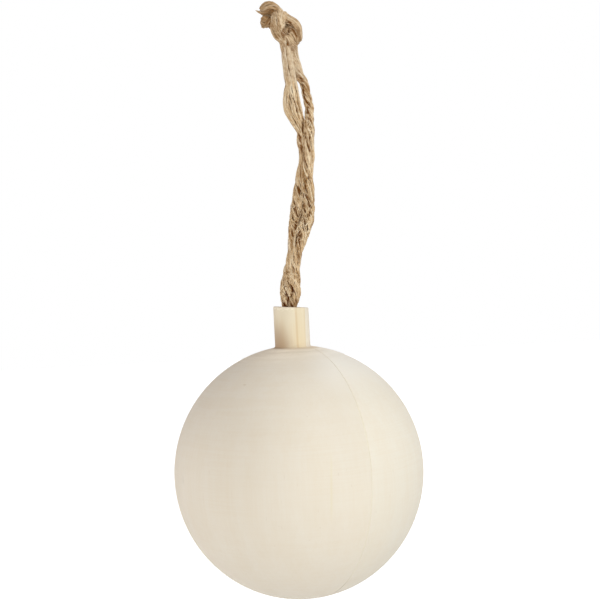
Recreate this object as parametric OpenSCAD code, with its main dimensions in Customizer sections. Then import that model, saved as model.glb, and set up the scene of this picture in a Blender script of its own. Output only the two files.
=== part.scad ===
// Turned wooden ball ornament with a glued-in neck and a knotted hanging loop of jute twine.
// Lengths are in millimetres. Z runs up the neck, X to the right and Y away from the viewer.
// The pieces are drawn from the centre of the neck's mouth and then hung, so that the origin
// is the eye between the two legs of twine, where a hook or a twig carries the ornament.

/* [Ball] */
// Diameter of the ball
ball_d = 80; // [60:1:110]
// Distance of the glue seam from the ball's centre
seam_offset = 0.6; // [0:0.1:6]
// Turn of the seam about the neck, in degrees
seam_turn = 30.5; // [0:0.5:90]
// Lean of the seam from upright, in degrees
seam_lean = 3.4; // [0:0.1:10]
// Depth of the fine V that the eased edges of the halves leave along the seam
seam_groove = 0.15; // [0.05:0.05:0.4]
// Depth of the neck's socket below the top of the ball
socket_depth = 14; // [10:0.5:20]
// Room for glue round the neck in its socket
glue_gap = 0.1; // [0.05:0.05:0.3]

/* [Neck] */
// Diameter of the neck
neck_d = 11.4; // [9.6:0.1:14]
// Height of the neck above the top of the ball
neck_rise = 12.5; // [8:0.5:20]
// Radius of the cove where the neck meets the ball
neck_cove = 0.8; // [0.4:0.1:1.5]
// Radius of the rounded edge round the neck's top
neck_round = 0.4; // [0.2:0.1:1]
// Diameter of the drilled bore that holds the twine
bore_d = 6.4; // [6.2:0.1:7.2]
// Depth of the bore, without its drill point
bore_depth = 12; // [11.5:0.5:15]
// Angle of the drill point at the end of the bore, in degrees
drill_angle = 118; // [90:1:140]
// Chamfer round the mouth of the bore
bore_chamfer = 0.3; // [0.1:0.1:0.8]

/* [Hidden] */
$fn = 96;

ball_colour = "#EBE2CF";
neck_colour = "#E9D8B4";
twine_colour = "#BE9E74";

ball_r = ball_d / 2;
neck_r = neck_d / 2;
bore_r = bore_d / 2;
// Radius of the circle where the seam comes out on the ball
seam_r = sqrt(ball_r ^ 2 - seam_offset ^ 2);
// Height of the ball's centre, from the neck's mouth
ball_z = -neck_rise - ball_r;
// Foot of the neck, which rests on the floor of its socket
foot_z = -neck_rise - socket_depth;
// Height of the ball's surface under the outer edge of the cove
cove_z = ball_z + sqrt(ball_r ^ 2 - (neck_r + neck_cove) ^ 2);
// Length of the drill point
drill_tip = bore_r / tan(drill_angle / 2);
// How far a cut runs past the face where it starts
overrun = 1;

// The eye between the legs of twine, from the centre of the neck's mouth
eye = [6.5, 0, 71.5];
// Sides of the twine's section
twine_sides = 8;
// Each point of a route is [x, y, z, thickness] from the centre of the neck's mouth.
// The soft twine swells where nothing squeezes it.
front_leg_route = [
    [1.0, 0, -11, 2.5],
    [1.0, 0, -0.5, 2.5],
    [2.0, -0.1, 4, 3.0],
    [2.1, -0.4, 7.5, 3.2],
    [1.8, -1.5, 12, 3.4],
    [2.3, -1.6, 16, 3.7],
    [3.6, -1.5, 20, 3.7],
    [5.3, -0.9, 24, 3.9],
    [6.8, -0.2, 28, 4.0],
    [7.5, -0.1, 33, 4.0],
    [7.5, -1.0, 38, 3.7],
    [7.5, -1.4, 43, 3.6],
    [8.2, -1.5, 48, 3.7],
    [8.6, -1.5, 53, 3.5],
    [9.0, -1.3, 57, 3.0],
    [9.0, -0.5, 60.5, 2.8],
    [9.1, 0.2, 64.5, 2.8],
    [8.3, 0.2, 69, 2.8],
    [6.7, 0.8, 74.5, 2.9],
    [5.1, 1.2, 80, 2.9],
    [5.1, 1.2, 83, 2.7]
];
back_leg_route = [
    [-1.7, 0, -11, 2.5],
    [-1.7, 0, -0.5, 2.5],
    [-1.5, 0.1, 4, 3.0],
    [-1.3, 0.3, 7.5, 3.1],
    [0.0, 1.5, 12, 3.0],
    [1.1, 1.7, 16, 2.9],
    [1.7, 1.5, 20, 2.9],
    [2.0, 1.0, 24, 3.1],
    [2.4, 0.2, 28, 3.1],
    [3.4, 0.1, 33, 3.1],
    [4.5, 1.0, 38, 3.2],
    [5.6, 1.4, 43, 2.9],
    [6.3, 1.5, 48, 2.8],
    [6.4, 1.5, 53, 2.8],
    [6.2, 0.6, 57, 3.2],
    [5.0, -0.3, 60.5, 4.3],
    [3.8, -0.4, 64.5, 5.1],
    [3.6, 0, 69, 4.4],
    [3.6, -0.7, 74.5, 3.5],
    [2.9, -1.1, 80, 3.0],
    [2.9, -1.1, 83, 2.7]
];
// The knot is an overhand knot in both strands: up the front to the left, over the top, down
// the back to the right, round the legs to the front and out to the left under the first pass.
front_knot_route = [
    [2.9, -1.1, 83, 2.7],
    [2.9, -1.1, 84.2, 2.7],
    [1.6, -2.7, 87, 2.7],
    [0.1, -3.6, 90, 2.7],
    [-1.1, -3.4, 93.2, 2.7],
    [-1.8, -2.2, 96, 2.6],
    [-2.0, 0.1, 97.6, 2.6],
    [-1.1, 2.5, 96.2, 2.6],
    [0.5, 3.7, 93, 2.6],
    [2.3, 4.1, 89.6, 2.6],
    [4.1, 3.7, 86.8, 2.6],
    [5.9, 2.1, 86.1, 2.6],
    [6.5, 0.2, 87.4, 2.5],
    [5.9, -1.4, 89.1, 2.5],
    [4.1, -1.8, 90.4, 2.5],
    [1.9, -0.8, 91.1, 2.5],
    [-0.5, -0.3, 91.7, 2.6],
    [-2.7, -0.4, 92.3, 3.2],
    [-4.7, -0.6, 92.7, 3.8]
];
back_knot_route = [
    [5.1, 1.2, 83, 2.7],
    [5.1, 1.2, 84.2, 2.7],
    [3.9, -1.6, 87.2, 2.7],
    [2.3, -3.4, 90.1, 2.7],
    [1.1, -3.7, 92.9, 2.7],
    [0.5, -2.8, 95.7, 2.6],
    [0.3, -0.6, 97.6, 2.6],
    [1.1, 1.9, 97.2, 2.6],
    [2.7, 3.6, 94.7, 2.6],
    [4.3, 4.2, 91.9, 2.6],
    [6.1, 3.8, 89.3, 2.6],
    [7.4, 2.2, 88.1, 2.6],
    [7.3, 0.4, 88.7, 2.6],
    [7.0, -1.4, 90.3, 2.6],
    [5.5, -2.2, 91.9, 2.5],
    [3.5, -1.8, 92.9, 2.5],
    [1.3, -0.7, 93.9, 2.5],
    [-0.9, -0.2, 94.9, 2.6],
    [-2.8, -0.5, 95.7, 3.2],
    [-4.5, -0.9, 96.7, 3.8]
];

function place(point) = [point[0], point[1], point[2]];
function unit(v) = v / norm(v);
// Direction of a route at point i, along the chord between its neighbours
function heading(route, i) =
    let (before = max(i - 1, 0))
    let (after = min(i + 1, len(route) - 1))
    unit(place(route[after]) - place(route[before]));
// Side vector of each ring, carried along the route so that the tube doesn't wring
function ring_sides(route, i = 0, last = [0, 1, 0]) =
    i == len(route) ? [] :
    let (dir = heading(route, i))
    let (side = unit(last - (last * dir) * dir))
    concat([side], ring_sides(route, i + 1, side));
function ring(point, dir, side) =
    let (up = cross(dir, side))
    [for (k = [0:twine_sides - 1])
        let (turn = 360 * k / twine_sides)
        place(point) + point[3] / 2 * (cos(turn) * side + sin(turn) * up)];

// Tube along a route, one ring at each of its points
module tube(route) {
    last = len(route) - 1;
    side = ring_sides(route);
    points = [for (i = [0:last]) each ring(route[i], heading(route, i), side[i])];
    start_cap = [for (k = [0:twine_sides - 1]) k];
    end_cap = [for (k = [twine_sides - 1:-1:0]) last * twine_sides + k];
    walls = [
        for (i = [0:last - 1])
        for (k = [0:twine_sides - 1])
        let (a = i * twine_sides + k)
        let (b = i * twine_sides + (k + 1) % twine_sides)
        each [
            [a, a + twine_sides, b + twine_sides],
            [a, b + twine_sides, b]
        ]
    ];
    polyhedron(points, concat([start_cap], walls, [end_cap]));
}

// Moves what is drawn from the neck's mouth so that the eye is the origin
module hung() {
    translate(-eye) children();
}

module at_ball() {
    translate([0, 0, ball_z]) children();
}

// Frame of the seam: its Z axis is square to the glued faces
module at_seam() {
    at_ball() rotate([0, seam_lean, seam_turn]) rotate([0, 90, 0]) children();
}

// Half section of one half ball about the seam's axis, with its edge eased.
// The side is 1 for the half that the axis points into, and -1 for the other.
module half_section(side) {
    difference() {
        intersection() {
            circle(ball_r);
            translate([0, seam_offset + (side - 1) / 2 * ball_d]) square(ball_d);
        }
        translate([seam_r, seam_offset]) rotate(45) square(seam_groove * sqrt(2), center = true);
    }
}

module neck_socket() {
    translate([0, 0, foot_z]) cylinder(r = neck_r + glue_gap, h = -foot_z);
}

module ball_half(side) {
    difference() {
        at_seam() rotate_extrude() half_section(side);
        neck_socket();
    }
}

module ball_left_half() {
    color(ball_colour) hung() ball_half(-1);
}

module ball_right_half() {
    color(ball_colour) hung() ball_half(1);
}

// Half section of the plain neck, with its rounded top edge
module neck_section() {
    translate([0, foot_z]) square([neck_r, -foot_z - neck_round]);
    translate([0, foot_z]) square([neck_r - neck_round, -foot_z]);
    translate([neck_r - neck_round, -neck_round]) circle(neck_round);
}

// Half section of the bore, with its drill point and the chamfer at its mouth
module bore_section() {
    polygon([
        [0, -bore_depth - drill_tip],
        [bore_r, -bore_depth],
        [bore_r, -bore_chamfer],
        [bore_r + bore_chamfer + overrun, overrun],
        [0, overrun]
    ]);
}

// Half section of the cove that blends the neck into the ball
module cove_section() {
    difference() {
        translate([neck_r - neck_cove, cove_z]) square([2 * neck_cove, neck_cove]);
        translate([neck_r + neck_cove, cove_z + neck_cove]) circle(neck_cove);
    }
}

module neck() {
    color(neck_colour) hung() {
        rotate_extrude() difference() {
            neck_section();
            bore_section();
        }
        difference() {
            rotate_extrude() cove_section();
            at_ball() sphere(r = ball_r);
        }
    }
}

module twine_front_leg() {
    color(twine_colour) hung() tube(front_leg_route);
}

module twine_back_leg() {
    color(twine_colour) hung() tube(back_leg_route);
}

module twine_knot() {
    color(twine_colour) hung() {
        tube(front_knot_route);
        tube(back_knot_route);
    }
}

ball_left_half();
ball_right_half();
neck();
twine_front_leg();
twine_back_leg();
twine_knot();
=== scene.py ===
import math

import bpy
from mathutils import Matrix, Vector


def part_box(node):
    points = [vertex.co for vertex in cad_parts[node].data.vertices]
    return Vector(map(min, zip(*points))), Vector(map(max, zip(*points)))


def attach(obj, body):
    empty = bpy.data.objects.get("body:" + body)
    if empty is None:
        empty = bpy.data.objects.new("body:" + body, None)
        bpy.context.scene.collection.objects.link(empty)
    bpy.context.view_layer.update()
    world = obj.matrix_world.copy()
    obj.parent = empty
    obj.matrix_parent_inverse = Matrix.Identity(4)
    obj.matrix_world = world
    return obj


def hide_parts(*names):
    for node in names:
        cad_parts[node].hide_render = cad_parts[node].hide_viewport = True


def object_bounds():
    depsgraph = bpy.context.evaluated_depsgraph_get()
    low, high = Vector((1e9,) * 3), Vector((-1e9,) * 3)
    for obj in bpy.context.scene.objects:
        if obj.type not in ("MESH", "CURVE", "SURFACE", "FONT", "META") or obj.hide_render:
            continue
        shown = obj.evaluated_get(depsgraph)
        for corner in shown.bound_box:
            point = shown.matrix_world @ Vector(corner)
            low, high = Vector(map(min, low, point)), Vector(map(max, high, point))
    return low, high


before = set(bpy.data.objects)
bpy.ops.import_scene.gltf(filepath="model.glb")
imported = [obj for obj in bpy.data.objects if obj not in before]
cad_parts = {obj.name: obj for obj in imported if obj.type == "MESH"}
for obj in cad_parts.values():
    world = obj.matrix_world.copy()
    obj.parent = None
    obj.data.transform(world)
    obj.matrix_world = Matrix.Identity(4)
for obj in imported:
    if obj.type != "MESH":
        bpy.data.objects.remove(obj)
cad_low, cad_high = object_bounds()


# Ball halves
# Two half balls of pale, close-grained wood, glued on a flat upright face and turned as one.
# Fine sanding left faint level rings, and the glue shows as a hairline down the right side.
class Wire:
    """One output of a node tree. An operator on it adds a Math node to that tree."""

    def __init__(self, socket):
        self.socket = socket
        self.tree = socket.id_data

    @staticmethod
    def node(tree, kind, settings=None, sockets=None, out=None):
        """Adds a node of any kind: its settings first, then its sockets, by identifier."""
        node = tree.nodes.new(kind)
        for name, value in (settings or {}).items():
            setattr(node, name, value)
        inputs = {socket.identifier: socket for socket in node.inputs}
        for name, value in (sockets or {}).items():
            if isinstance(value, Wire):
                tree.links.new(value.socket, inputs[name])
            else:
                inputs[name].default_value = value
        outputs = {socket.identifier: socket for socket in node.outputs}
        return Wire(outputs[out or node.outputs[0].identifier])

    def beside(self, out):
        """Another output of the same node."""
        return Wire(next(s for s in self.socket.node.outputs if s.identifier == out))

    def math(self, operation, first, second=0.0):
        sockets = {"Value": first, "Value_001": second}
        return Wire.node(self.tree, "ShaderNodeMath", {"operation": operation}, sockets)

    def __add__(self, other):
        return self.math("ADD", self, other)

    def __radd__(self, other):
        return self.math("ADD", other, self)

    def __sub__(self, other):
        return self.math("SUBTRACT", self, other)

    def __rsub__(self, other):
        return self.math("SUBTRACT", other, self)

    def __mul__(self, other):
        return self.math("MULTIPLY", self, other)

    def __rmul__(self, other):
        return self.math("MULTIPLY", other, self)

    def __truediv__(self, other):
        return self.math("DIVIDE", self, other)

    def __rtruediv__(self, other):
        return self.math("DIVIDE", other, self)

    def __mod__(self, other):
        return self.math("MODULO", self, other)

    def __pow__(self, other):
        return self.math("POWER", self, other)

    def __lt__(self, other):
        return self.math("LESS_THAN", self, other)

    def __gt__(self, other):
        return self.math("GREATER_THAN", self, other)

    def __abs__(self):
        return self.math("ABSOLUTE", self)

    def at_least(self, other):
        return self.math("MAXIMUM", self, other)

    def at_most(self, other):
        return self.math("MINIMUM", self, other)

    def cosine(self):
        return self.math("COSINE", self)

    def sine(self):
        return self.math("SINE", self)

    def root(self):
        return self.math("SQRT", self)

    def step(self, start, end):
        """Smooth step of this value: 0 at start and 1 at end."""
        sockets = {"Value": self, "From Min": start, "From Max": end}
        settings = {"interpolation_type": "SMOOTHSTEP"}
        return Wire.node(self.tree, "ShaderNodeMapRange", settings, sockets)

    def vector(self, operation, other=(0.0, 0.0, 0.0), out="Vector"):
        sockets = {"Vector": self, "Vector_001": other}
        return Wire.node(self.tree, "ShaderNodeVectorMath", {"operation": operation}, sockets, out)

    def scaled(self, factor):
        settings = {"operation": "SCALE"}
        return Wire.node(self.tree, "ShaderNodeVectorMath", settings, {"Vector": self, "Scale": factor})

    def length(self):
        return self.vector("LENGTH", out="Value")

    def part(self, axis):
        """One coordinate of this vector."""
        return Wire.node(self.tree, "ShaderNodeSeparateXYZ", None, {"Vector": self}, axis)

    def noise(self, detail, roughness=0.5):
        """Noise of one unit at this place."""
        sockets = {"Vector": self, "Scale": 1.0, "Detail": detail, "Roughness": roughness}
        return Wire.node(self.tree, "ShaderNodeTexNoise", None, sockets, "Fac")

    def paced_noise(self, pace, detail, roughness=0.5):
        """Noise at this place, with its pace along each axis in features per metre."""
        return self.vector("MULTIPLY", pace).noise(detail, roughness)

    def tint(self, low, high):
        """Colour that goes from low to high as this value goes from 0 to 1."""
        sockets = {"Factor_Float": self, "A_Color": low, "B_Color": high}
        return Wire.node(self.tree, "ShaderNodeMix", {"data_type": "RGBA"}, sockets, "Result_Color")


def new_finish(name):
    """An empty material, with its shader and the place on the piece, in metres."""
    material = bpy.data.materials.new(name)
    material.use_nodes = True
    shader = material.node_tree.nodes["Principled BSDF"]
    place = Wire.node(material.node_tree, "ShaderNodeTexCoord", out="Object")
    return material, shader, place


def set_finish(shader, colour, roughness, specular):
    """Feeds the shader's colour and roughness, and sets how strongly it reflects."""
    links = shader.id_data.links
    links.new(colour.socket, shader.inputs["Base Color"])
    links.new(roughness.socket, shader.inputs["Roughness"])
    shader.inputs["Specular IOR Level"].default_value = specular


def set_bump(shader, height, distance):
    """Lets a height from 0 to 1 stand out of the surface by up to this distance."""
    tree = shader.id_data
    sockets = {"Height": height, "Distance": distance, "Strength": 1.0}
    bump = Wire.node(tree, "ShaderNodeBump", None, sockets)
    tree.links.new(bump.socket, shader.inputs["Normal"])


ball_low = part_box("ball_left_half")[0]
ball_r = 0.040
neck_axis_x = -0.0065
mouth_z = -0.0715
ball_centre = (neck_axis_x, 0.0, ball_low.z + ball_r)
seam_turn = math.radians(30.5)
seam_lean = math.radians(3.4)
seam_offset = 0.0006
seam_normal = (
    math.cos(seam_lean) * math.cos(seam_turn),
    math.cos(seam_lean) * math.sin(seam_turn),
    -math.sin(seam_lean),
)
left_pale = (0.868, 0.792, 0.665, 1.0)
right_pale = (0.864, 0.799, 0.672, 1.0)
warm_wood = (0.835, 0.732, 0.575, 1.0)
fleck_brown = (0.640, 0.505, 0.350, 1.0)
sap_yellow = (0.830, 0.740, 0.480, 1.0)
glue_pale = (0.850, 0.770, 0.625, 1.0)
glue_and_painted_light = (0.940, 0.860, 0.690, 1.0)
glue_brown = (0.840, 0.750, 0.610, 1.0)
glue_low = (0.690, 0.600, 0.470, 1.0)
foot_glue_and_shade_tan = (0.660, 0.515, 0.350, 1.0)
seam_painted_shade = (0.730, 0.668, 0.560, 1.0)
crown_highlight_cream = (0.985, 0.942, 0.852, 1.0)
neck_side_bright = (1.000, 0.890, 0.725, 1.0)
# How closely each mark of the wood repeats along X, Y and Z
band_pace = (190.0, 190.0, 11.0)
grain_pace = (1150.0, 1150.0, 42.0)
pore_pace = (2600.0, 2600.0, 260.0)
ring_pace = (70.0, 70.0, 2300.0)
broad_ring_pace = (30.0, 30.0, 620.0)
wear_pace = (28.0, 28.0, 55.0)
# Where each mark starts and where it is full, measured from the ball's centre
neck_zone = (ball_r - 0.006, ball_r - 0.001)
right_zone = (-0.02, 0.012)
broad_ring_zone = (0.0, 0.025)
# Painted highlight: the top right of the ball is paler, standing in for light falling there
painted_crown_heights = (0.024, 0.036)
painted_crown_side = (0.002, 0.014)
# A small scar at the upper left and a yellow line of sapwood near the middle of the front
scar_place = (-0.0147, -0.0218, 0.0301)
scar_flatness = (1.0, 1.0, 3.0)
scar_edge = (0.0003, 0.0009)
sap_line_x = 0.0091
sap_line_slope = 0.05
sap_line_edge = (0.0001, 0.0005)
sap_line_foot = (-0.010, -0.002)
sap_line_head = (0.006, 0.014)
# The glue is a hairline along the seam, wider and darker low down, and painted shade darkens the wood on
# its left
glue_core = 0.0001
glue_half_width = 0.00022
low_glue_extra = 0.00020
low_glue_heights = (-0.024, -0.033)
# Higher up the glue line is paler, partly glue and partly painted light against the groove's shade
glue_and_painted_light_heights = (0.009, 0.015)
brown_glue_heights = (0.020, 0.026)
# Painted shade darkens a band of wood just left of the seam, in the upper half
painted_shade_side = (-0.016, -0.004)
painted_shade_heights = (-0.004, 0.010)
# More glue stains, with painted shade, darken the wood round the neck's foot, mostly at the front and
# right
foot_glue_and_shade_shift = (0.0010, -0.0008, 0.0)
foot_glue_and_shade_edge = (0.0064, 0.0084)
foot_glue_and_shade_heights = (0.03, 0.035)
ball_grain_relief = 0.00003


def ball_wood(name, pale_wood, grain_shift):
    """Pale sanded wood with upright grain, few flecks, level lathe rings and the glue line."""
    material, shader, place = new_finish(name)
    at_ball = place.vector("SUBTRACT", ball_centre)
    height = at_ball.part("Z")
    across = height.beside("X")
    on_front = height.beside("Y") < 0.0
    on_left = 1.0 - across.step(*right_zone)
    near_neck = height.step(*neck_zone)

    in_half = at_ball.vector("ADD", grain_shift)
    bands = in_half.paced_noise(band_pace, detail=3.0)
    grain = in_half.paced_noise(grain_pace, detail=3.0, roughness=0.6)
    pores = in_half.paced_noise(pore_pace, detail=1.0)
    rings = at_ball.paced_noise(ring_pace, detail=2.0, roughness=0.6)
    broad_rings = at_ball.paced_noise(broad_ring_pace, detail=2.0, roughness=0.6)
    worn = at_ball.paced_noise(wear_pace, detail=1.0)
    ring_strength = 0.2 + 0.4 * worn.step(0.42, 0.62) + 0.9 * near_neck
    ring_mark = (rings.step(0.42, 0.64) - 0.5) * ring_strength
    broad_strength = 0.12 + 0.45 * height.step(*broad_ring_zone) * on_left + 1.2 * near_neck
    broad_mark = (broad_rings.step(0.36, 0.64) - 0.5) * broad_strength
    tone = 0.9 * (bands - 0.42) + 0.7 * (grain - 0.5) + 0.35 * ring_mark + 0.55 * broad_mark
    clean_wood = (0.9 * near_neck).tint(pale_wood, neck_side_bright)
    colour = (tone + 0.22).tint(clean_wood, warm_wood)
    fleck = 0.30 * pores.step(0.73, 0.82)
    colour = fleck.tint(colour, fleck_brown)

    from_scar = at_ball.vector("SUBTRACT", scar_place).vector("MULTIPLY", scar_flatness)
    scar = 1.0 - from_scar.length().step(*scar_edge)
    colour = (0.4 * scar).tint(colour, fleck_brown)
    from_sap_line = abs(across - sap_line_x - height * sap_line_slope)
    sap_line = (1.0 - from_sap_line.step(*sap_line_edge)) * height.step(*sap_line_foot)
    sap_line = sap_line * (1.0 - height.step(*sap_line_head)) * on_front
    colour = (0.3 * sap_line).tint(colour, sap_yellow)

    from_seam = at_ball.vector("DOT_PRODUCT", seam_normal, "Value") - seam_offset
    # Painted shade: the wood left of the seam is darkened
    painted_shade_by_seam = from_seam.step(*painted_shade_side) * (from_seam < 0.0) * height.step(*painted_shade_heights)
    colour = (0.16 * painted_shade_by_seam).tint(colour, seam_painted_shade)
    # Painted highlight lightens the top right of the ball
    painted_crown_light = height.step(*painted_crown_heights) * across.step(*painted_crown_side)
    colour = (0.6 * painted_crown_light).tint(colour, crown_highlight_cream)
    # Glue stain and painted shade darken a ring round the neck's foot
    from_foot = at_ball.vector("SUBTRACT", foot_glue_and_shade_shift).vector("MULTIPLY", (1.0, 1.0, 0.0))
    foot_glue_and_shade = (1.0 - from_foot.length().step(*foot_glue_and_shade_edge)) * height.step(*foot_glue_and_shade_heights)
    colour = (0.65 * foot_glue_and_shade).tint(colour, foot_glue_and_shade_tan)
    low_end = height.step(*low_glue_heights)
    glue = 1.0 - abs(from_seam).step(glue_core, glue_half_width + low_glue_extra * low_end)
    # The paler glue colour is partly painted light that offsets the groove's shade
    glue_colour = height.step(*glue_and_painted_light_heights).tint(glue_pale, glue_and_painted_light)
    glue_colour = height.step(*brown_glue_heights).tint(glue_colour, glue_brown)
    glue_colour = low_end.tint(glue_colour, glue_low)
    colour = ((0.5 + 0.4 * low_end) * glue).tint(colour, glue_colour)

    set_finish(shader, colour, roughness=0.56 + 0.16 * grain, specular=0.3)
    set_bump(shader, 0.6 * rings * ring_strength + 0.5 * grain - 0.8 * fleck, ball_grain_relief)
    return material


left_wood = ball_wood("ball_wood_left", left_pale, (0.0, 0.0, 0.0))
right_wood = ball_wood("ball_wood_right", right_pale, (0.071, 0.033, 0.052))
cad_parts["ball_left_half"].material_slots[0].material = left_wood
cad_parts["ball_right_half"].material_slots[0].material = right_wood


# Neck
# A short dowel of yellower wood with upright grain, its rim eased with sandpaper. The saw ran off a
# little, so its top slopes down to the right. It is glued into the ball, and its bore holds the twine.
neck_wood = (0.810, 0.675, 0.455, 1.0)
neck_pale = (0.860, 0.755, 0.560, 1.0)
neck_streak = (0.690, 0.500, 0.250, 1.0)
neck_shade_brown = (0.480, 0.330, 0.205, 1.0)
neck_sap = (0.845, 0.765, 0.640, 1.0)
end_grain_and_glint_cream = (1.000, 0.900, 0.730, 1.0)
# The sloping cut changes only this depth of the neck's top
neck_height = 0.0125
cut_slope = -0.08
cut_depth = 0.001
# How closely each mark of the wood repeats along X, Y and Z
neck_band_pace = (420.0, 420.0, 9.0)
neck_grain_pace = (2100.0, 2100.0, 50.0)
neck_pore_pace = (5200.0, 5200.0, 700.0)
rim_grit_pace = (1700.0, 1700.0, 2600.0)
# Turns round the neck are in radians from the front to the right, and slopes in radians a metre
streak_turn = math.radians(16.0)
streak_slope = -2.0
streak_edge = (0.015, 0.10)
sap_turn_top = math.radians(50.5)
sap_turn_slope = -6.0
sap_turn_fade = (-0.02, 0.06)
sap_line_fade = (0.01, 0.05)
right_turns = (streak_turn - 0.02, streak_turn + 0.05)
back_turns = (2.6, 1.8)
# Heights are measured from the cut, apart from those of the painted shade at the foot and the cove
# The pale top and the rim specks are partly painted light
pale_and_lit_heights = (-0.008, -0.001)
end_grain_and_glint_heights = (-0.0020, -0.0004)
# Painted shade along the rim's top edge
rim_shade_heights = (-0.00025, -0.00002)
# Painted shade at the lower left of the neck's foot and along its cove
foot_shade_heights = (-neck_height, -neck_height * 0.12)
foot_shade_turn = 0.5
foot_shade_slope = 75.0
foot_shade_full_turn = -0.85
cove_heights = (-neck_height - 0.0002, -neck_height + 0.0012)
cove_turns = (-0.3, 0.6)
neck_grain_relief = 0.00004


def neck_dowel_wood():
    """Yellow wood with upright grain and one dark growth line, a pale top partly painted light, and
    painted shade at its foot and rim.
    """
    material, shader, place = new_finish("neck_dowel_wood")
    at_neck = place.vector("SUBTRACT", (neck_axis_x, 0.0, mouth_z))
    across = at_neck.part("X")
    height = across.beside("Z")
    below_cut = height - across * cut_slope
    turn = across.math("ARCTAN2", across, 0.0 - across.beside("Y"))
    off_back = abs(turn).step(*back_turns)
    right_side = turn.step(*right_turns) * off_back

    bands = at_neck.paced_noise(neck_band_pace, detail=2.0)
    grain = at_neck.paced_noise(neck_grain_pace, detail=3.0, roughness=0.6)
    pores = at_neck.paced_noise(neck_pore_pace, detail=1.0)
    grit = at_neck.paced_noise(rim_grit_pace, detail=1.0)
    # The top is paler, partly sanded wood and partly painted light
    pale_and_lit_top = below_cut.step(*pale_and_lit_heights) * (1.0 - 0.7 * right_side)
    tone = 1.5 * (bands - 0.45) + 1.3 * (grain - 0.5) + 0.4 * right_side - 0.6 * pale_and_lit_top
    colour = (tone + 0.3).tint(neck_pale, neck_wood)

    from_sapwood = turn - (sap_turn_top - height * sap_turn_slope)
    sapwood = from_sapwood.step(*sap_turn_fade) * off_back
    colour = (0.8 * sapwood).tint(colour, neck_sap)
    sap_line = 0.25 * (1.0 - abs(from_sapwood).step(*sap_line_fade))
    from_streak = turn - streak_turn - height * streak_slope
    streak = 0.5 * (1.0 - abs(from_streak).step(*streak_edge))
    colour = (streak + sap_line).tint(colour, neck_streak)

    # Pale specks at the rim, partly end grain and partly painted glints
    end_grain_and_glints = below_cut.step(*end_grain_and_glint_heights) * grit.step(0.46, 0.60) * (0.8 - 0.7 * right_side)
    colour = end_grain_and_glints.tint(colour, end_grain_and_glint_cream)
    # Painted shade: a thin dark line along the rim's top edge
    painted_rim_shade = 0.4 * below_cut.step(*rim_shade_heights)
    colour = painted_rim_shade.tint(colour, neck_shade_brown)
    # Painted shade darkens the lower left of the neck's foot and its cove
    foot_shade_start = foot_shade_turn - (height + neck_height) * foot_shade_slope
    painted_foot_shade = (1.0 - height.step(*foot_shade_heights)) * turn.step(foot_shade_start, foot_shade_full_turn) * off_back
    painted_cove_shade = 1.0 - height.step(*cove_heights)
    painted_cove_shade = painted_cove_shade * (0.45 - 0.3 * turn.step(*cove_turns) * off_back)
    colour = (0.95 * painted_foot_shade).at_least(painted_cove_shade).tint(colour, neck_shade_brown)

    set_finish(shader, colour, roughness=0.55 + 0.18 * grain, specular=0.3)
    set_bump(shader, 0.5 * grain - 0.4 * pores.step(0.62, 0.75), neck_grain_relief)
    return material


dowel_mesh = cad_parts["neck"].data.copy()
dowel_mesh.materials.clear()
dowel_mesh.materials.append(neck_dowel_wood())
for vertex in dowel_mesh.vertices:
    if vertex.co.z > mouth_z - cut_depth:
        vertex.co.z += cut_slope * (vertex.co.x - neck_axis_x)
dowel = bpy.data.objects.new("neck_dowel", dowel_mesh)
bpy.context.scene.collection.objects.link(dowel)
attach(dowel, "root")
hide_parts("neck")


# Legs of twine
# Two legs of rough, loosely spun jute twine, about 3 mm thick, with their ends glued in the neck's bore.
# They lie side by side below the loop, and the soft strand swells wherever its twist has opened.
millimetre = 0.001
eye = Vector((6.5, 0.0, 71.5))
# Each point of a route is x, y and z from the centre of the neck's mouth and the thickness, all in
# millimetres, and how far the twist has opened there, from 0 to 1
front_leg_route = (
    (1, 0, -11, 2.5, 0),
    (0.7, 0, -0.5, 2.3, 0.1),
    (1.5, -0.1, 4, 3.5, 0.4),
    (1.6, -0.4, 7.5, 3.6, 0.5),
    (1.7, -1.4, 12, 3.5, 0.6),
    (2.3, -1.6, 16, 3.7, 0.6),
    (3.6, -1.5, 20, 3.7, 0.5),
    (5.1, -0.9, 24, 4.1, 0.5),
    (6.3, -0.2, 28, 4.6, 0.6),
    (6.9, -0.1, 33, 4.6, 0.6),
    (7.4, -1, 38, 3.9, 0.6),
    (7.5, -1.4, 43, 3.6, 0.7),
    (8.2, -1.5, 48, 3.6, 0.7),
    (8.6, -1.5, 53, 3.3, 0.6),
    (8.8, -1.4, 57, 3.1, 0.5),
    (9.0, -0.7, 60.5, 2.7, 0.3),
    (9.2, 0.2, 64.5, 2.7, 0.2),
    (8.4, 0.2, 69, 2.7, 0.2),
    (8.1, 0.3, 72, 2.7, 0.2),
    (6.6, 0.6, 75, 2.9, 0.5),
    (5.2, 1.2, 80, 3.2, 0.7),
    (5, 0.8, 84, 2.6, 0.9),
    (4.4, 0.9, 87.2, 2.2, 0.9),
)
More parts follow.
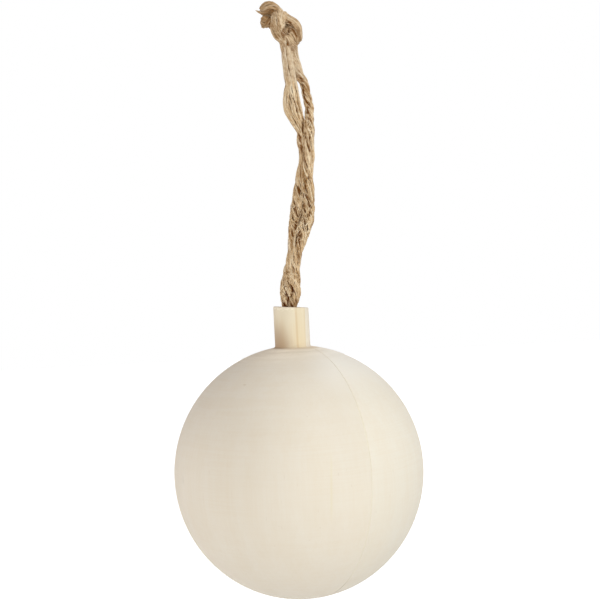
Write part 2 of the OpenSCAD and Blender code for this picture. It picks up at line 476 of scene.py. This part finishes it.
back_leg_route = (
    (-1.7, 0, -11, 2.5, 0),
    (-1.6, 0, -0.5, 2.4, 0.1),
    (-1.3, 0.1, 4, 3.5, 0.4),
    (-1, 0.3, 7.5, 3.6, 0.4),
    (0, 1.4, 12, 3.2, 0.4),
    (1.1, 1.6, 16, 3, 0.5),
    (1.7, 1.5, 20, 3, 0.5),
    (2.2, 1, 24, 3.3, 0.4),
    (3, 0.2, 28, 3.8, 0.4),
    (3.9, 0.1, 33, 3.8, 0.4),
    (4.7, 1, 38, 3.4, 0.5),
    (5.6, 1.4, 43, 3.1, 0.6),
    (6.6, 1.5, 48, 2.9, 0.6),
    (6.4, 1.5, 53, 3.1, 0.5),
    (6.3, 0.6, 57, 3.2, 0.8),
    (5.1, -0.3, 60.5, 4.2, 0.95),
    (3.8, -0.4, 64.5, 5.1, 1),
    (3.6, 0, 69, 4.5, 0.95),
    (3.9, -0.3, 72, 3.5, 0.95),
    (3.5, -0.7, 74.5, 3.5, 0.95),
    (2.9, -1.1, 80, 3.2, 0.9),
    (2.7, -1.2, 84, 2.6, 0.9),
    (2.6, -0.3, 87.2, 2, 0.9),
)
jute_pale = (0.910, 0.755, 0.532, 1.0)
jute_straw = (0.735, 0.533, 0.312, 1.0)
jute_brown = (0.380, 0.205, 0.075, 1.0)
jute_crease_shade = (0.195, 0.072, 0.012, 1.0)
jute_rust = (0.330, 0.160, 0.048, 1.0)
jute_shadow = (0.100, 0.022, 0.002, 1.0)
jute_grey = (0.550, 0.530, 0.510, 1.0)
# How closely each mark of the fibres repeats along X, Y and Z
jute_streak_pace = (900.0, 900.0, 900.0)
jute_speck_pace = (1700.0, 1700.0, 1100.0)
jute_patch_pace = (150.0, 150.0, 90.0)
# Heights above the neck's mouth, in metres, where each mark of the twine starts or ends
bore_shade = (-0.0005, 0.0028)
foot_shadow_end = (0.007, 0.011)
foot_felt_end = (0.011, 0.013)
middle_felt_start = (0.018, 0.021)
middle_felt_end = (0.031, 0.036)
high_felt_start = (0.050, 0.054)
high_felt_end = (0.061, 0.064)
grey_start = (0.070, 0.076)
grey_fade = (0.083, 0.086)
right_leg_side = (0.0003, 0.0012)
# Each crease, where the fibres part and painted shade darkens the inside, runs between two points
leg_creases = (
    ((4.2, -2.5, 66.7), (5.4, -2.5, 62.5)),
    ((7.1, -0.8, 73.9), (7.4, -0.7, 71.2)),
    ((7.4, -0.7, 69.6), (7.7, -0.6, 67.8)),
    ((8.1, -0.5, 66.5), (9.2, -0.9, 65.2)),
    ((8.5, -1.0, 64.3), (8.7, -1.3, 62.4)),
    ((8.7, -2.0, 60.6), (9.6, -2.1, 59.4)),
    ((6.9, -1.3, 58.8), (6.8, -0.9, 56.8)),
    ((5.0, 0.0, 56.1), (6.3, 0.0, 54.3)),
    ((5.5, 0.2, 53.6), (6.2, 0.1, 53.4)),
    ((7.4, -2.2, 55.7), (7.3, -2.4, 53.8)),
    ((8.7, -2.9, 54.7), (9.0, -2.8, 53.8)),
    ((5.9, 0.3, 51.7), (6.3, 0.2, 50.4)),
    ((7.9, -2.9, 51.8), (8.6, -3.0, 49.5)),
    ((6.8, -2.2, 49.7), (6.7, -2.5, 46.5)),
    ((7.6, -3.0, 41.2), (7.7, -2.9, 40.4)),
    ((6.7, -2.5, 39.6), (6.5, -2.4, 38.0)),
    ((4.3, -0.4, 38.9), (5.1, -0.7, 36.1)),
    ((5.7, -1.8, 35.1), (6.8, -2.4, 36.7)),
    ((7.2, -2.6, 35.3), (7.7, -2.1, 32.0)),
    ((7.5, -2.0, 30.2), (7.5, -2.1, 29.1)),
    ((5.7, -1.9, 32.9), (6.1, -1.9, 30.6)),
    ((3.0, -1.8, 31.4), (3.3, -1.8, 30.0)),
    ((4.6, -1.4, 29.7), (4.6, -1.7, 27.5)),
    ((6.2, -1.8, 28.1), (6.4, -1.8, 27.3)),
    ((3.2, -1.3, 26.9), (3.2, -1.4, 25.6)),
    ((2.2, -0.9, 26.1), (3.0, -1.1, 25.0)),
    ((1.6, -0.5, 24.1), (1.8, -0.4, 22.8)),
    ((5.3, -2.7, 24.6), (5.3, -2.8, 24.2)),
    ((3.8, -2.2, 23.7), (3.8, -2.6, 22.4)),
    ((3.5, -2.8, 21.4), (3.9, -3.0, 20.0)),
    ((0.4, -1.2, 6.9), (0.6, -1.2, 5.8)),
    ((0.7, -1.4, 6.7), (0.7, -1.3, 5.7)),
    ((1.1, -1.5, 5.2), (0.4, -1.4, 4.4)),
    ((0.6, -1.5, 3.9), (0.3, -1.0, 3.2)),
    ((-1.2, -1.4, 4.7), (-1.1, -1.3, 3.6)),
    ((1.8, -1.3, 2.5), (1.9, -1.0, 1.5)),
    ((-0.6, -1.1, 2.9), (-1.0, -0.7, 0.0)),
    ((-2.3, -0.8, 2.1), (-2.0, -0.8, 0.1)),
    ((0.1, -0.8, 1.0), (0.7, -0.9, 0.0)),
)


def hung(point):
    """A place that is measured from the centre of the neck's mouth, in the part's frame, in metres."""
    return (Vector(point[:3]) - eye) * millimetre


def jute_finish():
    """Dull bast fibre: each fibre has its own tone, and painted shade darkens those deep in a crease."""
    material, shader, place = new_finish("jute_fibre")

    def own(name):
        settings = {"attribute_name": name}
        return Wire.node(material.node_tree, "ShaderNodeAttribute", settings, None, "Fac")

    depth = own("depth")
    across = place.part("X")
    above_mouth = across.beside("Z") - mouth_z
    streak = place.paced_noise(jute_streak_pace, detail=3.0, roughness=0.6)
    specks = place.paced_noise(jute_speck_pace, detail=1.0)
    patch = place.paced_noise(jute_patch_pace, detail=2.0)
    tone = 1.2 * (own("shade") - 0.5) + 1.3 * (streak - 0.5) + 0.8 * (patch - 0.5) + 0.5
    colour = tone.step(0.0, 0.5).tint(jute_brown, jute_straw)
    colour = tone.step(0.45, 0.95).tint(colour, jute_pale)
    grey = 0.17 * above_mouth.step(*grey_start) - 0.09 * above_mouth.step(*grey_fade)
    colour = grey.tint(colour, jute_grey)

    smooth_part = above_mouth.step(*foot_felt_end) * (1.0 - above_mouth.step(*middle_felt_start))
    felted = (1.0 - smooth_part) * (1.0 - 0.75 * above_mouth.step(*middle_felt_end))
    high_felt = above_mouth.step(*high_felt_start) * (1.0 - above_mouth.step(*high_felt_end))
    high_felt = 0.6 * high_felt * across.step(*right_leg_side)
    felted = (felted * patch.step(0.36, 0.58)).at_least(high_felt)
    # Painted shade darkens fibres that lie deep and the twine in the bore's mouth; felted parts add dark
    # specks
    specks_and_painted_shade = 1.0 - depth.step(0.5, 0.9)
    specks_and_painted_shade = specks_and_painted_shade.at_least(0.75 * felted * specks.step(0.54, 0.66))
    specks_and_painted_shade = specks_and_painted_shade.at_least(0.45 * (1.0 - above_mouth.step(*bore_shade)))
    colour = specks_and_painted_shade.tint(colour, jute_crease_shade)
    at_foot = 1.0 - above_mouth.step(*foot_shadow_end)
    shadow = 0.95 * at_foot * (1.0 - depth.step(0.48, 0.74))
    colour = shadow.tint(colour, jute_shadow)
    colour = (0.48 * own("tail")).tint(colour, jute_rust)

    set_finish(shader, colour, roughness=0.62 + 0.25 * streak, specular=0.05)
    return material


jute = jute_finish()
full_turn = 2 * math.pi
golden_share = 0.618
# How closely each slow change along a strand repeats, in features per metre
lump_pace = 260.0
parting_pace = 150.0
clump_pace = 90.0
turn_pace = 160.0
depth_pace = 210.0
width_pace = 330.0
# How far apart fibres and plies lie in the noise, and how wide a ring of fibres is there
fibre_gap = 7.31
lump_gap = 3.7
ply_gap = 5.0
parting_ring = 1.6
clump_ring = 1.3
# How far a lump turns its ply, and how far a fibre turns by itself
lump_turn = 0.8
own_twist_share = 0.4
wander_turn = 3.0
first_turn_play = 0.2
# How much of a fibre's tone is its own, and how much it shares with its clump
own_tone_share = 0.4
clump_tone_share = 0.6
clump_contrast = 2.2
# How fibres differ in thickness and in lift, and what keeps one in the middle from flying out
thickness_range = (0.6, 1.4)
thickness_change = 0.9
lift_range = (0.2, 1.0)
least_reach = 0.0001
# A crease takes the fibres in by the push, and darkens them with painted shade by the shade
crease_core = 0.4
crease_least = 0.6
crease_push = 0.35
crease_shade = 0.6
core_depth = 0.3
open_core_depth = 0.35
taper_share = 0.08
tail_fade = 0.03
bake_fill = 0.9
bake_wrap = 0.25


def spun_strand_tree():
    """Tree that spins a bundle of fibres along each route, in plies that open where it swells."""
    tree = bpy.data.node_groups.new("spun_strand", "GeometryNodeTree")
    tree.interface.new_socket("Route", in_out="INPUT", socket_type="NodeSocketGeometry")
    for name in ("Fibres", "Plies", "Sides", "Seed"):
        tree.interface.new_socket(name, in_out="INPUT", socket_type="NodeSocketInt")
    for name in (
        "Step", "Swell", "Twist", "Skew", "Ply spread", "Inner share", "Fibre radius", "Core share",
        "Wander", "Parting", "Flatten", "Window", "Ragged", "Lift", "Taper", "Tone", "Crease width",
        "Tail share",
    ):
        tree.interface.new_socket(name, in_out="INPUT", socket_type="NodeSocketFloat")
    tree.interface.new_socket("Centre", in_out="INPUT", socket_type="NodeSocketVector")
    tree.interface.new_socket("Finish", in_out="INPUT", socket_type="NodeSocketMaterial")
    tree.interface.new_socket("Strand", in_out="OUTPUT", socket_type="NodeSocketGeometry")
    entry = tree.nodes.new("NodeGroupInput")
    given = {socket.name: Wire(socket) for socket in entry.outputs if socket.name}

    def add(kind, settings=None, sockets=None, out=None):
        return Wire.node(tree, kind, settings, sockets, out)

    def kept(name):
        settings = {"data_type": "FLOAT"}
        return add("GeometryNodeInputNamedAttribute", settings, {"Name": name}, "Attribute")

    sockets = {"Geometry": given["Route"], "Selection": kept("radius") > 0.0}
    route = add("GeometryNodeSeparateGeometry", {"domain": "POINT"}, sockets)
    creases = route.beside("Inverted")
    line = add("GeometryNodeMeshToCurve", None, {"Mesh": route})
    smooth = add("GeometryNodeCurveSplineType", {"spline_type": "CATMULL_ROM"}, {"Curve": line})
    sockets = {"Curve": smooth, "Length": given["Step"]}
    even = add("GeometryNodeResampleCurve", {"mode": "LENGTH"}, sockets)
    copies = {"Geometry": even, "Amount": given["Fibres"]}
    bundle = add("GeometryNodeDuplicateElements", {"domain": "SPLINE"}, copies)
    fibre = bundle.beside("Duplicate Index")
    index = add("GeometryNodeInputIndex")
    settings = {"domain": "CURVE", "data_type": "INT"}
    each = add("GeometryNodeFieldOnDomain", settings, {"Value": index})
    share_along = add("GeometryNodeSplineParameter", out="Factor")
    along = share_along.beside("Length")
    radius = add("GeometryNodeInputRadius") * given["Swell"]
    is_core = (fibre < 0.5) * (given["Core share"] > 0.0)
    free = 1.0 - is_core

    def chance(number, low=0.0, high=1.0):
        sockets = {"Min_001": low, "Max_001": high, "ID": each, "Seed": given["Seed"] + number}
        return add("FunctionNodeRandomValue", {"data_type": "FLOAT"}, sockets, "Value_001")

    def noise_at(x, y, z):
        sockets = {"X": x, "Y": y, "Z": z}
        return add("ShaderNodeCombineXYZ", None, sockets).noise(detail=1.0)

    def wander(number, pace):
        """Slow noise along a fibre, about -0.5 to 0.5."""
        return noise_at(along * pace, each * fibre_gap, given["Seed"] + number) - 0.5

    def ring_noise(fibre_turn, ring, pace):
        """Noise that neighbouring fibres of a ply share, at their turn round a ring."""
        x = fibre_turn.cosine() * ring + ply * ply_gap
        y = fibre_turn.sine() * ring + given["Seed"]
        return noise_at(x, y, along * pace)

    tight = 1.0 - kept("open")
    settings = {"data_type": "FLOAT", "domain": "POINT"}
    sockets = {"Value": given["Twist"] * tight * given["Step"], "Group Index": each}
    turn = add("GeometryNodeAccumulateField", settings, sockets, "Trailing")
    ply = fibre % given["Plies"]
    lump = noise_at(along * lump_pace, ply * lump_gap, given["Seed"])
    ply_turn = ply * full_turn / given["Plies"] + turn + (lump - 0.5) * lump_turn
    first_turn = (fibre * golden_share + chance(1, 0.0, first_turn_play)) * full_turn
    skew = chance(11, -1.0, 1.0) * given["Skew"] * along
    base_turn = first_turn + turn * own_twist_share + skew
    parted = ring_noise(base_turn, parting_ring, parting_pace)
    own_turn = base_turn + (parted - 0.5) * given["Parting"]
    own_turn = own_turn + wander(2, turn_pace) * given["Wander"] * wander_turn
    clump = ring_noise(first_turn, clump_ring, clump_pace)
    clump_tone = 0.5 + clump_contrast * (clump - 0.5)
    shade = own_tone_share * chance(10) + clump_tone_share * clump_tone + given["Tone"]

    spread = given["Ply spread"] * tight
    inner = given["Inner share"]
    depth = (inner + chance(3) * (1.0 - inner)) * (1.0 - spread)
    depth = depth + wander(4, depth_pace) * given["Wander"]
    across = (spread * ply_turn.cosine() + depth * own_turn.cosine()) * free
    over = (spread * ply_turn.sine() + depth * own_turn.sine()) * free
    span = (across * across + over * over).root()

    window = given["Window"]
    start = chance(5) * (1.0 - window)
    stop = start + window - chance(6) * given["Ragged"]
    share = ((share_along - start) / window).at_least(0.0)
    rise = share.at_most(1.0) ** 2.0 * given["Lift"] * chance(7, *lift_range)
    thick = given["Fibre radius"] * chance(8, *thickness_range)
    thick = thick * (1.0 + thickness_change * wander(9, width_pace))
    ends = (share_along - start).at_most(stop - share_along)
    tapered = ends.step(0.0, taper_share) * given["Taper"] + (1.0 - given["Taper"])
    width = thick * tapered * free + radius * given["Core share"] * is_core
    reach = radius - thick

    tangent = add("GeometryNodeInputTangent")
    normal = add("GeometryNodeInputNormal")
    position = add("GeometryNodeInputPosition")
    outward = position.vector("SUBTRACT", given["Centre"])
    lengthwise = tangent.scaled(outward.vector("DOT_PRODUCT", tangent, "Value"))
    square = outward.vector("SUBTRACT", lengthwise)
    flat = given["Flatten"]
    sockets = {"Factor_Float": flat > 0.0, "A_Vector": normal, "B_Vector": square.vector("NORMALIZE")}
    up = add("ShaderNodeMix", {"data_type": "VECTOR"}, sockets, "Result_Vector")
    side = tangent.vector("CROSS_PRODUCT", up)
    lifted = 1.0 + rise / (reach * span + least_reach)
    out_by = up.scaled(across * reach * (1.0 - flat) * lifted)
    side_by = side.scaled(over * reach * (1.0 + flat) * lifted)
    offset = out_by.vector("ADD", side_by)
    sockets = {"Target": creases, "Source Position": position.vector("ADD", offset)}
    near = add("GeometryNodeProximity", {"target_element": "EDGES"}, sockets, "Distance")
    crease_width = given["Crease width"]
    dent = (1.0 - near.step(crease_core * crease_width, crease_width)) * near.beside("Is Valid")
    dent = dent * chance(12, crease_least, 1.0)
    core_shade = core_depth + open_core_depth * kept("open")
    tail_share = given["Tail share"]
    tail_end = 1.0 - tail_share
    tail = share_along.step(tail_end - tail_fade, tail_end) * (tail_share > 0.0)

    def keep(geometry, name, value, data_type="FLOAT", domain="POINT"):
        settings = {"data_type": data_type, "domain": domain}
        sockets = {"Geometry": geometry, "Name": name, "Value": value}
        return add("GeometryNodeStoreNamedAttribute", settings, sockets)

    marked = bundle
    for name, value in (
        ("width", width),
        ("depth", span * (1.0 - crease_shade * dent) + is_core * core_shade),
        ("shade", shade),
        ("tail", tail),
        ("strip", each),
        ("along", share_along),
        ("start", start),
        ("stop", stop),
    ):
        marked = keep(marked, name, value)
    sockets = {"Geometry": marked, "Offset": offset.scaled(1.0 - crease_push * dent)}
    spun = add("GeometryNodeSetPosition", None, sockets)
    sockets = {"Curve": spun, "Start": kept("start"), "End": kept("stop")}
    spun = add("GeometryNodeTrimCurve", {"mode": "FACTOR"}, sockets)
    sockets = {"Resolution": given["Sides"], "Radius": 1.0}
    profile = add("GeometryNodeCurvePrimitiveCircle", {"mode": "RADIUS"}, sockets)
    profile = keep(profile, "around", add("GeometryNodeSplineParameter", out="Factor"))
    sockets = {"Curve": spun, "Profile Curve": profile, "Scale": kept("width"), "Fill Caps": True}
    tubes = add("GeometryNodeCurveToMesh", None, sockets)

    # Each fibre has its own strip of the map named OFBake
    around = kept("around")
    settings = {"domain": "FACE", "data_type": "FLOAT"}
    face_mean = add("GeometryNodeFieldOnDomain", settings, {"Value": around})
    wrapped = around + ((face_mean - around) > bake_wrap)
    settings = {"component": "CURVE"}
    count = add("GeometryNodeAttributeDomainSize", settings, {"Geometry": spun}, "Spline Count")
    sockets = {"X": kept("along"), "Y": (kept("strip") + wrapped * bake_fill) / count}
    strip = add("ShaderNodeCombineXYZ", None, sockets)
    tubes = keep(tubes, "OFBake", strip, "FLOAT2", "CORNER")
    tubes = add("GeometryNodeSetShadeSmooth", None, {"Geometry": tubes, "Shade Smooth": True})
    tubes = add("GeometryNodeRealizeInstances", None, {"Geometry": tubes})
    tubes = add("GeometryNodeSetMaterial", None, {"Geometry": tubes, "Material": given["Finish"]})
    leave = tree.nodes.new("NodeGroupOutput")
    tree.links.new(tubes.socket, leave.inputs["Strand"])
    return tree


spun_strand = spun_strand_tree()


def spin(name, routes, creases, sizes):
    """A plain mesh of jute fibres along routes, pressed in along creases."""
    # A point with no thickness belongs to a crease
    no_strand = (0.0, 0.0)
    lines = [*routes, *([(*end, *no_strand) for end in crease] for crease in creases)]
    points = [point for line in lines for point in line]
    links = []
    first = 0
    for line in lines:
        links += [(first + i, first + i + 1) for i in range(len(line) - 1)]
        first += len(line)
    mesh = bpy.data.meshes.new(name)
    mesh.from_pydata([hung(point) for point in points], links, [])
    thickness = mesh.attributes.new("radius", "FLOAT", "POINT")
    thickness.data.foreach_set("value", [point[3] * millimetre / 2 for point in points])
    openness = mesh.attributes.new("open", "FLOAT", "POINT")
    openness.data.foreach_set("value", [point[4] for point in points])
    piece = bpy.data.objects.new(name, mesh)
    bpy.context.scene.collection.objects.link(piece)
    modifier = piece.modifiers.new("spin", "NODES")
    modifier.node_group = spun_strand
    for socket in spun_strand.interface.items_tree:
        if socket.name in sizes:
            modifier[socket.identifier] = sizes[socket.name]
        elif socket.name == "Finish":
            modifier[socket.identifier] = jute
    graph = bpy.context.evaluated_depsgraph_get()
    spun = bpy.data.meshes.new_from_object(piece.evaluated_get(graph))
    piece.modifiers.remove(modifier)
    piece.data = spun
    spun.name = name
    for scratch in ("width", "strip", "along", "start", "stop", "around", "open"):
        spun.attributes.remove(spun.attributes[scratch])
    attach(piece, "root")
    return piece


leg_spin = {
    "Fibres": 130,
    "Plies": 3,
    "Sides": 5,
    "Step": 0.001,
    "Swell": 1.18,
    "Twist": -860.0,
    "Skew": 25.0,
    "Ply spread": 0.45,
    "Inner share": 0.72,
    "Fibre radius": 0.00018,
    "Core share": 0.6,
    "Wander": 0.15,
    "Parting": 1.6,
    "Window": 1.0,
    "Ragged": 0.0,
    "Lift": 0.0,
    "Taper": 0.0,
    "Flatten": 0.0,
    "Tone": 0.06,
    "Crease width": 0.0006,
    "Tail share": 0.0,
}
front_leg = spin("jute_front_leg", [front_leg_route], leg_creases, {**leg_spin, "Seed": 3})
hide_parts("twine_front_leg")
back_leg_spin = {**leg_spin, "Tone": 0.05, "Seed": 14}
back_leg = spin("jute_back_leg", [back_leg_route], leg_creases, back_leg_spin)
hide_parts("twine_back_leg")


# Knot
# An overhand knot in both strands, drawn tight, with two short cut tails to the left.
# The pull has flattened the strands, so they lie in broad bands of nearly straight fibres.
front_knot_route = (
    (2.6, -1.1, 80.7, 1.8, 0.9),
    (2.5, -1.3, 83.5, 2.5, 0.9),
    (2.2, -2.5, 85.4, 2.4, 0.9),
    (0.4, -3.4, 87.7, 2.8, 0.9),
    (-0.1, -3.4, 90.4, 2.8, 0.9),
    (0, -2.6, 93.2, 2.6, 0.9),
    (0.5, -0.6, 95.5, 2.4, 0.9),
    (1.1, 1.8, 95.6, 2.4, 0.8),
    (2.2, 3.6, 94.2, 2.5, 0.8),
    (3.6, 4, 90.6, 2.5, 0.8),
    (4.6, 3.4, 87.4, 2.5, 0.8),
    (5.5, 1.8, 85.9, 2.4, 0.8),
    (5.7, 0, 86.3, 2.3, 0.8),
    (5.3, -1, 87.5, 2.3, 0.8),
    (4.4, -1.2, 88.9, 2.4, 0.8),
    (2.7, 0.9, 89.7, 3.2, 0.8),
    (0.5, 0.9, 91, 3.4, 0.8),
    (-1.7, -0.6, 92.2, 3.2, 0.8),
    (-3.3, -0.9, 92.5, 3.6, 0.9),
    (-4.4, -1, 92.8, 3.1, 1),
    (-5.0, -1, 92.9, 1.4, 1),
)
back_knot_route = (
    (4.8, 1, 81.1, 1.8, 0.9),
    (4.8, 0.2, 83.8, 2.5, 0.9),
    (2.8, -1.7, 86, 2.5, 0.9),
    (1, -2.7, 88, 2.6, 0.9),
    (1, -2.9, 90.5, 2.7, 0.9),
    (1.5, -2.4, 92.9, 2.5, 0.9),
    (2.3, -0.8, 94.2, 2.4, 0.9),
    (3, 1.6, 94.5, 2.4, 0.8),
    (4.3, 3.6, 93.7, 2.5, 0.8),
    (5.6, 4.2, 90.9, 2.4, 0.8),
    (6.5, 3.6, 88.2, 2.3, 0.8),
    (7, 2, 87.4, 2.2, 0.8),
    (7.1, 0.2, 88.4, 2.1, 0.8),
    (6.9, -1.2, 89.9, 2.2, 0.8),
    (5.8, -2, 91.3, 2.3, 0.8),
    (4, -1.8, 92.4, 2.4, 0.8),
    (1.8, 0.3, 93.3, 3, 0.8),
    (0, -0.3, 95.4, 3.7, 0.8),
    (-1.5, -0.7, 96.3, 4.6, 0.9),
    (-3.0, -0.9, 96.3, 4.1, 1),
    (-4.8, -1, 95.4, 2.2, 1),
)
whisker_route = (
    (-2.8, -2, 94.8, 1.5, 1),
    (-4.3, -2.1, 94.9, 1.2, 1),
    (-5.4, -2.1, 95.3, 0.8, 1),
    (-6.6, -2.2, 95.9, 0.2, 1),
)
knot_creases = (
    ((4.1, -3.0, 91.1), (6.6, -1.4, 87.1)),
    ((1.5, -4.5, 87.4), (2.7, -3.2, 88.9)),
    ((2.4, -4.1, 87.0), (3.5, -2.0, 88.4)),
    ((2.0, -4.2, 86.5), (3.3, -2.6, 87.6)),
    ((3.4, -3.1, 84.7), (3.5, -2.6, 84.0)),
    ((-3.9, -1.7, 93.9), (-1.7, -1.7, 93.7)),
    ((-2.6, -2.4, 91.6), (-2.2, -2.4, 90.8)),
)
knot_centre = (2.3, 0.3, 91.0)
knot_spin = {
    **leg_spin,
    "Fibres": 90,
    "Step": 0.0007,
    "Swell": 1.32,
    "Flatten": 0.10,
    "Parting": 0.4,
    "Skew": 110.0,
    "Wander": 0.24,
    "Tone": -0.06,
    "Crease width": 0.0009,
    "Tail share": 0.10,
    "Ragged": 0.03,
    "Centre": hung(knot_centre),
    "Seed": 25,
}
knot = spin("jute_knot", [front_knot_route, back_knot_route], knot_creases, knot_spin)
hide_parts("twine_knot")
whisker_spin = {
    **knot_spin,
    "Fibres": 14,
    "Plies": 1,
    "Swell": 1.0,
    "Fibre radius": 0.00016,
    "Inner share": 0.2,
    "Core share": 0.0,
    "Flatten": 0.0,
    "Ragged": 0.25,
    "Taper": 0.8,
    "Tail share": 1.5,
    "Seed": 47,
}
whisker = spin("jute_whisker", [whisker_route], (), whisker_spin)


# Stray fibres
# Loose ends of single jute fibres that have worked out of the legs and the knot.
# Each still lies along its strand at one end and lifts away at the other.
stray_spin = {
    **leg_spin,
    "Fibres": 150,
    "Sides": 4,
    "Step": 0.0009,
    "Swell": 1.2,
    "Skew": 420.0,
    "Ply spread": 0.1,
    "Inner share": 0.9,
    "Fibre radius": 0.0001,
    "Core share": 0.0,
    "Window": 0.08,
    "Parting": 0.0,
    "Lift": 0.0004,
    "Taper": 1.0,
    "Seed": 36,
}
all_routes = [front_leg_route[1:], back_leg_route[1:], front_knot_route, back_knot_route]
strays = spin("jute_stray_fibres", all_routes, (), stray_spin)
felt_spin = {
    **stray_spin,
    "Fibres": 60,
    "Fibre radius": 0.00014,
    "Window": 0.3,
    "Skew": 800.0,
    "Lift": 0.0002,
    "Step": 0.0006,
    "Seed": 58,
}
felt_routes = [
    front_leg_route[1:5],
    back_leg_route[1:5],
    front_leg_route[6:11],
    back_leg_route[6:11],
    front_leg_route[13:17],
]
felt = spin("jute_felted_foot", felt_routes, leg_creases, felt_spin)
knot_felt_spin = {
    **felt_spin,
    "Fibres": 130,
    "Swell": 1.36,
    "Flatten": 0.10,
    "Window": 0.22,
    "Skew": 500.0,
    "Tone": -0.06,
    "Crease width": 0.0009,
    "Centre": hung(knot_centre),
    "Seed": 69,
}
knot_felt_routes = [front_knot_route[:8], back_knot_route[:8]]
knot_felt = spin("jute_felted_knot", knot_felt_routes, knot_creases, knot_felt_spin)


# Stage
# The ornament hangs in front of a plain white studio, over a pale floor, in soft light from the right.
# The camera stands level with it, and the ornament leans a little as it hangs.
hang_height = 0.12
floor_half = 3.0
floor_z = cad_low.z - hang_height
floor_white = (0.77, 0.77, 0.77, 1.0)
floor_glow = 0.92
floor_roughness = 0.9
no_light = (0.0, 0.0, 0.0, 1.0)
white_light = (1.0, 1.0, 1.0, 1.0)
floor_mesh = bpy.data.meshes.new("studio_floor")
floor_corners = [
    (-floor_half, -floor_half, floor_z),
    (floor_half, -floor_half, floor_z),
    (floor_half, floor_half, floor_z),
    (-floor_half, floor_half, floor_z),
]
floor_mesh.from_pydata(floor_corners, [], [(0, 1, 2, 3)])
floor = bpy.data.objects.new("studio_floor", floor_mesh)
bpy.context.scene.collection.objects.link(floor)


def shown_directly(tree):
    """1 for what is seen straight on, in gloss or through glass, and 0 for bounced light."""
    seen = Wire.node(tree, "ShaderNodeLightPath", out="Is Camera Ray")
    glossy = seen.beside("Is Glossy Ray")
    through = seen.beside("Is Transmission Ray")
    return seen.at_least(glossy).at_least(through)


def floor_finish():
    """Matt white that looks as bright as the white behind it."""
    material, shader = new_finish("studio_floor_white")[:2]
    shader.inputs["Base Color"].default_value = floor_white
    shader.inputs["Roughness"].default_value = floor_roughness
    shader.inputs["Emission Strength"].default_value = floor_glow
    glow = shown_directly(material.node_tree).tint(no_light, white_light)
    material.node_tree.links.new(glow.socket, shader.inputs["Emission Color"])
    return material


floor_mesh.materials.append(floor_finish())

room_light = (1.0, 0.95, 0.975, 1.0)
room_level = 0.360
world = bpy.data.worlds.new("white_studio")
world.use_nodes = True
bpy.context.scene.world = world
air = world.node_tree
room_sockets = {"Color": room_light, "Strength": room_level}
room = Wire.node(air, "ShaderNodeBackground", None, room_sockets)
white = Wire.node(air, "ShaderNodeBackground", None, {"Color": white_light, "Strength": 1.0})
sky_sockets = {"Fac": shown_directly(air), "Shader": room, "Shader_001": white}
sky = Wire.node(air, "ShaderNodeMixShader", None, sky_sockets)
air.links.new(sky.socket, air.nodes["World Output"].inputs["Surface"])

aim = Vector(ball_centre)


def soft_box(name, place, size, power, colour):
    """A square studio lamp that looks at the ball."""
    lamp = bpy.data.lights.new(name, "AREA")
    lamp.shape = "SQUARE"
    lamp.size = size
    lamp.energy = power
    lamp.color = colour
    holder = bpy.data.objects.new(name, lamp)
    holder.location = aim + Vector(place)
    holder.rotation_euler = (-Vector(place)).to_track_quat("-Z", "Y").to_euler()
    bpy.context.scene.collection.objects.link(holder)


large_box = 0.5
small_box = 0.25
soft_box("right_light", (0.80, -0.24, 0.46), large_box, power=2.45, colour=(0.87, 0.965, 1.0))
soft_box("front_light", (0.02, -0.95, 0.05), large_box, power=4.2, colour=(0.98, 1.0, 0.97))
soft_box("left_light", (-0.60, 0.20, -0.02), small_box, power=0.9, colour=(1.0, 0.975, 0.95))
soft_box("high_light", (0.55, 0.10, 0.72), large_box, power=1.4, colour=(0.98, 0.987, 1.0))

lens = 51.4
object_lean = math.radians(2.9)
camera_place = (-0.0034, -0.2776, -0.0694)
camera_data = bpy.data.cameras.new("photo_camera")
camera_data.lens = lens
camera_data.sensor_width = 36.0
camera_data.clip_start = 0.01
camera = bpy.data.objects.new("photo_camera", camera_data)
camera.location = camera_place
camera.rotation_euler = (math.pi / 2, object_lean, 0.0)
bpy.context.scene.collection.objects.link(camera)
bpy.context.scene.camera = camera
bpy.context.scene.view_settings.view_transform = "Standard"
